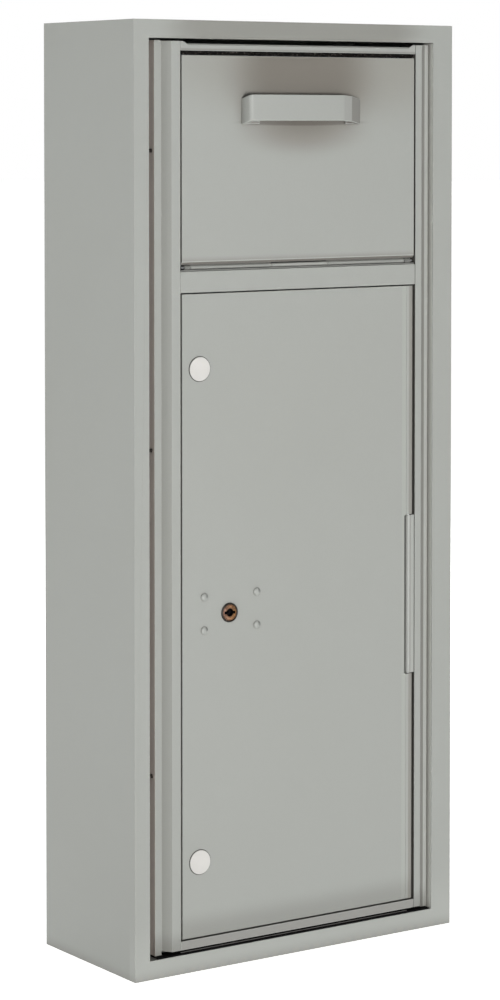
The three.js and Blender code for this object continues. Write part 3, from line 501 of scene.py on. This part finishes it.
def dress_cad_nodes():
    for name, obj in nodes.items():
        obj.data.materials.clear()
        slot = SLOT_OF[name]
        obj.data.materials.append(OWN_FINISH.get(name, MATERIALS[slot]))
        soften(obj, BEVELS.get(name, FINE_BEVEL))
        # bevel faces take the lighter paint, a painted highlight along the edges
        if slot.endswith("paint"):
            obj.data.materials.append(EDGE_HIGHLIGHT_PAINT)
            obj.modifiers["bevel"].material = 1


dress_cad_nodes()

# ---------------------------------------------------------------- finer pieces

TURNED_STEPS = 72
PIECE_BEVEL_SEGMENTS = 2
RIM_TOP = 22.1 * MM  # height of the enclosure's lower lip


def add_piece(name, form, body, slot, replaced=(), material=None, bevel=None):
    """Turns a bmesh into a named piece that rides on a body and may stand for CAD nodes."""
    bmesh.ops.recalc_face_normals(form, faces=form.faces)
    mesh = bpy.data.meshes.new(name)
    form.to_mesh(mesh)
    form.free()
    obj = bpy.data.objects.new(name, mesh)
    bpy.context.scene.collection.objects.link(obj)
    mesh.materials.append(material or MATERIALS[slot])
    mesh.polygons.foreach_set("use_smooth", [True] * len(mesh.polygons))
    mesh.set_sharp_from_angle(angle=SHARP)
    if bevel:
        rounding = obj.modifiers.new("bevel", "BEVEL")
        rounding.width = bevel
        rounding.segments = PIECE_BEVEL_SEGMENTS
        rounding.limit_method = "ANGLE"
        rounding.angle_limit = SHARP
    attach(obj, body)
    if replaced:
        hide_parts(*replaced)
    return obj


def ring(form, frame_matrix, radius, along, steps=TURNED_STEPS):
    """Vertices of a circle about the frame's Z, or its centre alone where the radius is 0."""
    if radius == 0:
        return [form.verts.new(frame_matrix @ Vector((0, 0, along)))]
    turn = 2 * math.pi / steps
    spots = [(radius * math.cos(i * turn), radius * math.sin(i * turn), along) for i in range(steps)]
    return [form.verts.new(frame_matrix @ Vector(spot)) for spot in spots]


def in_mm(profile):
    return [(radius * MM, along * MM) for radius, along in profile]


def bridge(form, first, second):
    """Faces between two rings, either of which may be a single point."""
    count = max(len(first), len(second))
    for i in range(count):
        j = (i + 1) % count
        corners = []
        for loop in ((first, i), (first, j), (second, j), (second, i)):
            vert = loop[0][loop[1] % len(loop[0])]
            if vert not in corners:
                corners.append(vert)
        form.faces.new(corners)


def turned(form, frame_matrix, profile, steps=TURNED_STEPS, closed=False):
    """Turns a profile of (radius, height) pairs about the frame's Z and returns its rings."""
    rings = [ring(form, frame_matrix, radius, along, steps) for radius, along in profile]
    for first, second in zip(rings, rings[1:]):
        bridge(form, first, second)
    if closed:
        bridge(form, rings[-1], rings[0])
    return rings


def facing(place, direction):
    """A frame at place whose Z points in direction, the way a head faces."""
    turn = Vector(direction).to_track_quat("Z", "Y").to_matrix().to_4x4()
    return Matrix.Translation(place) @ turn


def fill_between(form, outer, inner):
    """Flat face between an outer ring and a hole."""
    edges = []
    for loop in (outer, inner):
        for a, b in zip(loop, loop[1:] + loop[:1]):
            edges.append(form.edges.get((a, b)) or form.edges.new((a, b)))
    bmesh.ops.triangle_fill(form, use_beauty=True, use_dissolve=False, edges=edges)


def sunk_hole(form, frame_matrix, outline, top, depth):
    """Walls and floor of a hole with that outline; returns its upper loop."""
    upper = [form.verts.new(frame_matrix @ Vector((x, y, top))) for x, y in outline]
    lower = [form.verts.new(frame_matrix @ Vector((x, y, top - depth))) for x, y in outline]
    bridge(form, upper, lower)
    form.faces.new(lower)
    return upper


def cross_outline(arm, half):
    """Outline of a cross recess with arms of that length and half width."""
    quarter = [(arm, -half), (arm, half), (half, half)]
    points = []
    for turn in range(4):
        c, s = round(math.cos(turn * math.pi / 2)), round(math.sin(turn * math.pi / 2))
        points += [(x * c - y * s, x * s + y * c) for x, y in quarter]
    return points


# heads: radius and height of the head, radius and length of the shank
STILE_HEAD = (3.9 * MM, 2.6 * MM, 2.1 * MM, 14 * MM)
BACK_HEAD = (4 * MM, 2.4 * MM, 1.9 * MM, 3.8 * MM)
PULL_HEAD = (4.6 * MM, 2.7 * MM, 1.9 * MM, 4 * MM)
CAM_HEAD = (5.4 * MM, 2.8 * MM, 1.5 * MM, 4.8 * MM)
SCREW_STEPS = 36
RECESS_ARM, RECESS_HALF, RECESS_DEPTH = 0.48, 0.1, 0.7  # of the head's radius, and of its height


def screw(name, node, body, slot, direction, size):
    """Pan-head screw with a cross recess, its head facing direction from its seat."""
    head, rise, shank, length = size
    place = middle(node)
    low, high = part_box(node)
    axis = max(range(3), key=lambda i: abs(direction[i]))
    place[axis] = (high if direction[axis] > 0 else low)[axis] - direction[axis] * rise
    form = bmesh.new()
    matrix = facing(place, direction)
    crown = [
        (shank, -length),
        (shank, 0),
        (head - 0.1 * MM, 0),
        (head, 0.15 * MM),
        (head, rise * 0.45),
        (head * 0.93, rise * 0.75),
        (head * 0.78, rise * 0.93),
        (head * 0.62, rise),
    ]
    rings = turned(form, matrix, [(0, -length)] + crown, SCREW_STEPS)
    recess = cross_outline(head * RECESS_ARM, head * RECESS_HALF)
    hole = sunk_hole(form, matrix, recess, rise, rise * RECESS_DEPTH)
    fill_between(form, rings[-1], hole)
    add_piece(name, form, body, slot, (node,))


def add_screws():
    to_front, to_back = (0, -1, 0), (0, 1, 0)
    for side, inward in (("left", (1, 0, 0)), ("right", (-1, 0, 0))):
        for i in (1, 2, 3):
            end = f"{side}_{i}"
            screw(f"stile_pan_{end}", f"stile_screw_{end}", "root", "dark_steel", inward, STILE_HEAD)
        for level in ("lower", "upper"):
            end = f"{side}_{level}"
            screw(f"back_pan_{end}", f"back_screw_{end}", "root", "bright_steel", to_front, BACK_HEAD)
        screw(f"pull_pan_{side}", f"handle_screw_{side}", "hopper", "bright_steel", to_back, PULL_HEAD)
    screw("cam_pan", "cam_screw", "lock_cylinder", "bright_steel", to_back, CAM_HEAD)


KEYHOLE_RADIUS, KEYHOLE_SLOT, KEYHOLE_HALF = 4.9 * MM, 7.5 * MM, 1.75 * MM
LOBE_STEPS = 14


def keyhole_outline(radius, slot, half):
    """A circle with a slot of that half width, which reaches slot from the centre on two sides."""
    start = math.asin(half / radius)
    points = []
    for side in (0, math.pi):
        c = 1 if side == 0 else -1
        points += [(c * slot, -c * half), (c * slot, c * half)]
        for i in range(LOBE_STEPS + 1):
            angle = side + start + (math.pi - 2 * start) * i / LOBE_STEPS
            points.append((radius * math.cos(angle), radius * math.sin(angle)))
    return points


# lock profiles: radius and height in mm, from the plane LOCK_SEAT behind the lock's front
LOCK_SEAT = 1.8 * MM
PLUG_RISE = 1.3 * MM  # of the plug's face from that plane
BEZEL_PROFILE = (
    (9.7, -15), (9.7, 1.2), (9.8, 1.5), (10.1, 1.72), (10.4, 1.78), (10.9, 1.65),
    (11.3, 1.35), (11.5, 0.9), (11.5, 0.3), (10.5, 0.3), (10.5, -15),
)
PLUG_PROFILE = (
    (0, -15.3), (9.4, -15.3), (9.4, 1.0), (9.2, 1.22), (8.4, 1.3), (7.9, 1.3), (7.8, 1.16),
    (7.7, 1.16), (7.6, 1.3),
)
CORE_PROFILE = ((0, 0.2), (1.2, 0.2), (1.3, -0.2), (1.3, -3.8), (4.5, -4.0), (4.5, -5.2), (0, -5.2))
LINING_PROFILE = ((4.85, 1.15), (4.85, -5.4), (4.75, -5.4), (4.75, 1.15))
TAIL_HALF, TAIL_LENGTH = 3.6 * MM, 4 * MM


def add_lock():
    """Dark bezel round a copper-coloured plug face with a round, two-lobed keyhole whose walls and
    floor are painted near black as shade.
    """
    x, _, z = LOCK_CENTRE
    matrix = facing((x, LOCK_FRONT + LOCK_SEAT, z), (0, -1, 0))
    form = bmesh.new()
    turned(form, matrix, in_mm(BEZEL_PROFILE), closed=True)
    add_piece("lock_bezel", form, "parcel_door", "dark_steel", ("lock_body",))

    form = bmesh.new()
    rings = turned(form, matrix, in_mm(PLUG_PROFILE))
    outline = keyhole_outline(KEYHOLE_RADIUS, KEYHOLE_SLOT, KEYHOLE_HALF)
    hole = sunk_hole(form, matrix, outline, PLUG_RISE, KEYHOLE_DEPTH)
    fill_between(form, rings[-1], hole)
    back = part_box("lock_plug")[1][1]
    tail_low = (x - TAIL_HALF, back - TAIL_LENGTH, z - TAIL_HALF)
    box_form(form, tail_low, (x + TAIL_HALF, back, z + TAIL_HALF))
    add_piece("lock_plug_face", form, "lock_cylinder", "lock_copper", ("lock_plug",))

    # the keyhole's core and lining are near black, painted shade inside the keyhole
    form = bmesh.new()
    turned(form, matrix, in_mm(CORE_PROFILE))
    add_piece("keyhole_core", form, "lock_cylinder", "dark_steel", material=KEYHOLE_SHADE)

    form = bmesh.new()
    turned(form, matrix, in_mm(LINING_PROFILE), closed=True)
    add_piece("keyhole_lining", form, "lock_cylinder", "dark_steel", material=KEYHOLE_SHADE)


def box_form(form, low, high):
    """Adds a closed block to a bmesh."""
    size = [b - a for a, b in zip(low, high)]
    centre = [(a + b) / 2 for a, b in zip(low, high)]
    matrix = Matrix.Translation(centre) @ Matrix.Diagonal((*size, 1))
    bmesh.ops.create_cube(form, size=1, matrix=matrix)


# radius and height in mm, from a plane RIVET_HEIGHT or DISC_HEIGHT behind the node's front
RIVET_PROFILE = (
    (0, -3.8), (2.6, -3.8), (3.5, -3.1), (3.5, -2.5), (2, -2.5), (2, 0.3), (4.8, 0.3),
    (4.78, 0.6), (4.5, 1.15), (3.9, 1.7), (2.9, 2.15), (1.7, 2.4), (0, 2.5),
)
DISC_PROFILE = (
    (0, 0.3), (14.1, 0.3), (14.1, 1.0), (13.95, 1.3), (13.7, 1.45), (13.2, 1.5),
    (12.6, 1.42), (12.2, 1.4), (0, 1.4),
)
SHADOW_RING_PROFILE = (
    (0, 0.02), (14.75, 0.02), (14.75, 0.45), (14.5, 0.6), (14.2, 0.6), (14.2, 0.25), (0, 0.25),
)
RIVET_HEIGHT, DISC_HEIGHT = 2.5 * MM, 1.5 * MM
RIVET_STEPS, DISC_STEPS = 48, 96
# place and reach of the painted shade on each rivet dome
RIVET_SHADE_OFFSET, RIVET_SHADE_REACH = (3.0 * MM, 2.6 * MM), (2.4 * MM, 3.4 * MM)


def on_front(node, height):
    """A frame that faces forward, that height behind the front of a node."""
    x, _, z = middle(node)
    return facing((x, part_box(node)[0][1] + height, z), (0, -1, 0))


def add_rivets():
    """Domed heads, each with painted shade along its upper right edge."""
    for i in (1, 2, 3, 4):
        node = f"lock_rivet_{i}"
        x, _, z = middle(node)
        # painted shade on the dome's upper right, the side away from the light
        dust_and_shade = ((x + RIVET_SHADE_OFFSET[0], z + RIVET_SHADE_OFFSET[1]), RIVET_SHADE_REACH, 0.6, shaded_tone(0.55, 0.0))
        paint = powder_coat(f"rivet_paint_{i}", PAINT_TONE, (dust_and_shade,))
        form = bmesh.new()
        turned(form, on_front(node, RIVET_HEIGHT), in_mm(RIVET_PROFILE), RIVET_STEPS)
        add_piece(f"rivet_dome_{i}", form, "parcel_door", "door_paint", (node,), paint)


def add_discs():
    """Off-white number discs, each lying on a thin dark ring that shows as its outline, a painted
    shade of the gap round the disc.
    """
    for level in ("upper", "lower"):
        node = f"number_disc_{level}"
        matrix = on_front(node, DISC_HEIGHT)
        form = bmesh.new()
        turned(form, matrix, in_mm(DISC_PROFILE), DISC_STEPS)
        add_piece(f"disc_{level}", form, "parcel_door", "white_disc", (node,))
        # dark ring under the disc: painted shade round its edge
        form = bmesh.new()
        turned(form, matrix, in_mm(SHADOW_RING_PROFILE), DISC_STEPS)
        add_piece(f"disc_shadow_ring_{level}", form, "parcel_door", "rubber")


WIRE_SIDES = 10


def tube(form, points, radius):
    """Round wire through the points, closed at both ends."""
    loops = []
    for i, point in enumerate(points):
        ahead = points[min(i + 1, len(points) - 1)]
        behind = points[max(i - 1, 0)]
        matrix = facing(point, Vector(ahead) - Vector(behind))
        loops.append(ring(form, matrix, radius, 0, WIRE_SIDES))
    for first, second in zip(loops, loops[1:]):
        bridge(form, first, second)
    form.faces.new(loops[0])
    form.faces.new(loops[-1])


SPRING_TURNS, SPRING_STEPS = 7, 20
SPRING_WIRE, SPRING_RADIUS = 0.42 * MM, 2.5 * MM


def add_springs():
    """Coils round the hopper's pin, one at each end."""
    _, y, z = middle("hopper_pin")
    count = SPRING_TURNS * SPRING_STEPS
    for side in ("left", "right"):
        node = f"hopper_spring_{side}"
        low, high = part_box(node)
        start, end = low[0] + SPRING_WIRE, high[0] - SPRING_WIRE
        points = []
        for i in range(count + 1):
            share = i / count
            angle = 2 * math.pi * SPRING_TURNS * share
            across, up = SPRING_RADIUS * math.cos(angle), SPRING_RADIUS * math.sin(angle)
            points.append((start + (end - start) * share, y + across, z + up))
        form = bmesh.new()
        tube(form, points, SPRING_WIRE)
        add_piece(f"spring_coil_{side}", form, "root", "frame_paint", (node,), KNUCKLE_PAINT)


BRISTLE_SEED = 11
BRISTLE_ROWS = (0.5 * MM, 1.4 * MM, 2.3 * MM)  # behind the front of the seal
BRISTLE_PITCH, BRISTLE_MARGIN = 0.78 * MM, 1.1 * MM
BRISTLE_SIDES = 4
LONG_SHARE = 0.25  # of the bristles that hang lower than the rest
HOLDER_SET_BACK, HOLDER_RAISE = 3 * MM, 0.6 * MM


def add_bristles():
    """Brush strip above the hopper door: leaning bristles of uneven length from a dark holder."""
    low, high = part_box("top_seal")
    draw = random.Random(BRISTLE_SEED)
    form = bmesh.new()
    count = int((high[0] - low[0]) / BRISTLE_PITCH)
    for row, set_back in enumerate(BRISTLE_ROWS):
        y = low[1] + set_back
        for i in range(count):
            x = low[0] + (i + 0.5 + 0.3 * row) * BRISTLE_PITCH + draw.uniform(-0.3, 0.3) * MM
            x = min(max(x, low[0] + BRISTLE_MARGIN), high[0] - BRISTLE_MARGIN)
            drop = draw.uniform(0, 0.5) + (draw.uniform(0.5, 2.2) if draw.random() < LONG_SHARE else 0)
            lean = (draw.uniform(-1.0, 1.0) * MM, draw.uniform(-0.3, 0.3) * MM)
            foot = (x + lean[0], y + lean[1], low[2] + drop * MM)
            matrix = facing(foot, Vector((x, y, high[2])) - Vector(foot))
            thick = draw.uniform(0.2, 0.38) * MM
            hair = [(0, 0), (thick * 0.6, 0.1 * MM), (thick, high[2] - foot[2])]
            turned(form, matrix, hair, BRISTLE_SIDES)
    add_piece("top_bristles", form, "root", "bristle", ("top_seal",), BRISTLE_HAIR)
    form = bmesh.new()
    box_form(form, (low[0], low[1] + HOLDER_SET_BACK, low[2] + HOLDER_RAISE), high)
    add_piece("bristle_holder", form, "root", "bristle", material=GAP_BLACK, bevel=0.3 * MM)


# of the gasket: front and back, then bottom and top above the enclosure's lower lip
FOAM_DEPTHS, FOAM_RISES = (-99.0 * MM, -82 * MM), (0.1 * MM, 1.9 * MM)
EDGE_DEPTHS, EDGE_RISES = (-97.2 * MM, -96.5 * MM), (2.2 * MM, 3.1 * MM)
EDGE_INSETS = (3 * MM, 6 * MM)  # from the left and right ends of the bottom rail
# of the sill strip: front and back from the middle rail's front, bottom and top from its top
STRIP_DEPTHS, STRIP_RISES = (1.1 * MM, 4.6 * MM), (0.35 * MM, 1.7 * MM)
STRIP_INSET = MM


def add_bar(name, slot, material, bevel, across, depths, rises):
    """A straight block with fine bevels, given by its spans along x, y and z."""
    form = bmesh.new()
    box_form(form, *zip(across, depths, rises))
    add_piece(name, form, "root", slot, material=material, bevel=bevel)


def shifted(span, by):
    return tuple(by + value for value in span)


def add_bottom_gasket():
    """Black foam between the unit and the enclosure's lower lip, with a thin edge standing in it; the
    near-black foam is painted shade that fills the gap.
    """
    rail_low, rail_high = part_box("bottom_rail")
    stiles = (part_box("left_stile")[0][0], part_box("right_stile")[1][0])
    edge = (rail_low[0] + EDGE_INSETS[0], rail_high[0] - EDGE_INSETS[1])
    foam_heights, edge_heights = shifted(FOAM_RISES, RIM_TOP), shifted(EDGE_RISES, RIM_TOP)
    add_bar("sill_foam", "rubber", GAP_BLACK, 0.5 * MM, stiles, FOAM_DEPTHS, foam_heights)
    add_bar("sill_foam_edge", "rubber", FOAM_EDGE, 0.15 * MM, edge, EDGE_DEPTHS, edge_heights)


def add_sill_strip():
    """Flat bar along the middle rail that closes the gap under the hopper's hinge, painted a darker
    grey as the gap's shade.
    """
    low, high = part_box("middle_rail")
    across = (low[0] + STRIP_INSET, high[0] - STRIP_INSET)
    depths, heights = shifted(STRIP_DEPTHS, low[1]), shifted(STRIP_RISES, high[2])
    add_bar("sill_strip", "frame_paint", STRIP_SHADE_PAINT, 0.3 * MM, across, depths, heights)


add_screws()
add_lock()
add_rivets()
add_discs()
add_springs()
add_bristles()
add_bottom_gasket()
add_sill_strip()

# ---------------------------------------------------------------- stage and light

FLOOR_REACH = 40
FLOOR_SEEN, FLOOR_GLOW = 0.80, 0.17  # emission that the camera sees, and that lights the object
SKY_HIGH, SKY_LOW = 0.22, 0.34  # strength well above the horizon, and at it
SKY_RISE = 0.8  # height of the direction from which the sky is at its high strength
WHITE = (1, 1, 1, 1)
# place, aim and size in metres, power in watts
LIGHTS = {
    "key": ((-0.92, -4.3, 0.40), (0, 0, 0.58), (1.4, 0.8), 138),
    "side": ((-3.0, 0.45, 0.9), (-0.23, 0, 0.6), (1.6, 1.6), 41),
    "back": ((2.6, 2.2, 2.4), (0.1, 0, 0.6), (1.8, 1.8), 62),
}


def make_floor():
    """Pale floor that reads as a lit white sweep but throws little light back."""
    mesh = bpy.data.meshes.new("floor")
    corners = [(x * FLOOR_REACH, y * FLOOR_REACH, 0) for x, y in ((-1, -1), (1, -1), (1, 1), (-1, 1))]
    mesh.from_pydata(corners, [], [(0, 1, 2, 3)])
    floor = bpy.data.objects.new("floor", mesh)
    bpy.context.scene.collection.objects.link(floor)
    shader = Shader("floor", (0.93, 0.93, 0.925), 0.7, specular=0.1)
    shader.set("Emission Color", WHITE)
    seen = shader.node("ShaderNodeLightPath").outputs["Is Camera Ray"]
    shader.join(shader.ramp(seen, 0.0, 1.0, FLOOR_GLOW, FLOOR_SEEN), "Emission Strength")
    mesh.materials.append(shader.material)


def make_world():
    """White backdrop; the light it gives falls off towards the zenith."""
    world = bpy.data.worlds.new("world")
    world.use_nodes = True
    tree = world.node_tree
    sky = tree.nodes["Background"]
    white = tree.nodes.new("ShaderNodeBackground")
    seen = tree.nodes.new("ShaderNodeLightPath")
    choose = tree.nodes.new("ShaderNodeMixShader")
    height = tree.nodes.new("ShaderNodeSeparateXYZ")
    dim = tree.nodes.new("ShaderNodeMapRange")
    place = tree.nodes.new("ShaderNodeTexCoord")
    set_range(dim, 0, SKY_RISE, SKY_LOW, SKY_HIGH)
    sky.inputs["Color"].default_value = WHITE
    white.inputs["Color"].default_value = WHITE
    for output, socket in (
        (place.outputs["Generated"], height.inputs[0]),
        (height.outputs["Z"], dim.inputs["Value"]),
        (dim.outputs["Result"], sky.inputs["Strength"]),
        (seen.outputs["Is Camera Ray"], choose.inputs[0]),
        (sky.outputs[0], choose.inputs[1]),
        (white.outputs[0], choose.inputs[2]),
        (choose.outputs[0], tree.nodes["World Output"].inputs["Surface"]),
    ):
        tree.links.new(output, socket)
    bpy.context.scene.world = world


def area_light(name, place, aim, size, power):
    data = bpy.data.lights.new(name, "AREA")
    data.shape = "RECTANGLE"
    data.size, data.size_y = size
    data.energy = power
    light = bpy.data.objects.new(name, data)
    light.location = place
    light.rotation_euler = (Vector(aim) - Vector(place)).to_track_quat("-Z", "Y").to_euler()
    bpy.context.scene.collection.objects.link(light)


make_floor()
make_world()
for light_name, light_setup in LIGHTS.items():
    area_light(light_name, *light_setup)
bpy.context.scene.view_settings.view_transform = "Standard"
